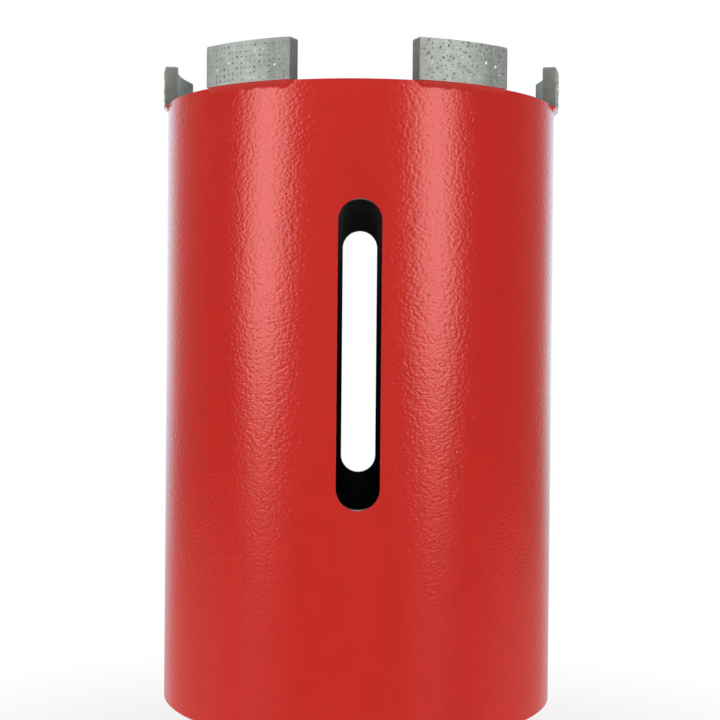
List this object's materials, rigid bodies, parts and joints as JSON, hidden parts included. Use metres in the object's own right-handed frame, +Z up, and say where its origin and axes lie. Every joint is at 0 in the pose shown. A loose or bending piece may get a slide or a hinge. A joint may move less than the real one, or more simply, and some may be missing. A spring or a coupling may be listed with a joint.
{
  "type": "diamond core bit",
  "caption": "Dry diamond core bit: a slotted, powder-coated steel barrel with welded diamond segments on its rim and a female-threaded drive hub.",
  "frame": {"origin": "centre of the threaded hub's end face, on the surface that the bit stands on", "axes": "+Z up the bit's axis towards the cutting ring, the front slot faces -Y"},
  "size_m": [0.102, 0.1, 0.1858],
  "materials": {
    "powder_coat": "red powder coat with orange peel over steel, dark bare steel inside",
    "sintered_metal": "pressed and sintered metal matrix with diamond grit",
    "machined_steel": "turned and milled"
  },
  "bodies": {
    "root": {"barrel": "powder_coat", "end_plate": "powder_coat", "plate_weld": "powder_coat", "hub_weld": "powder_coat", "threaded_hub": "machined_steel", "segment_1": "sintered_metal", "segment_2": "sintered_metal", "segment_3": "sintered_metal", "segment_4": "sintered_metal", "segment_5": "sintered_metal", "segment_6": "sintered_metal", "segment_weld_1": "powder_coat", "segment_weld_2": "powder_coat", "segment_weld_3": "powder_coat", "segment_weld_4": "powder_coat", "segment_weld_5": "powder_coat", "segment_weld_6": "powder_coat"}
  },
  "joints": []
}
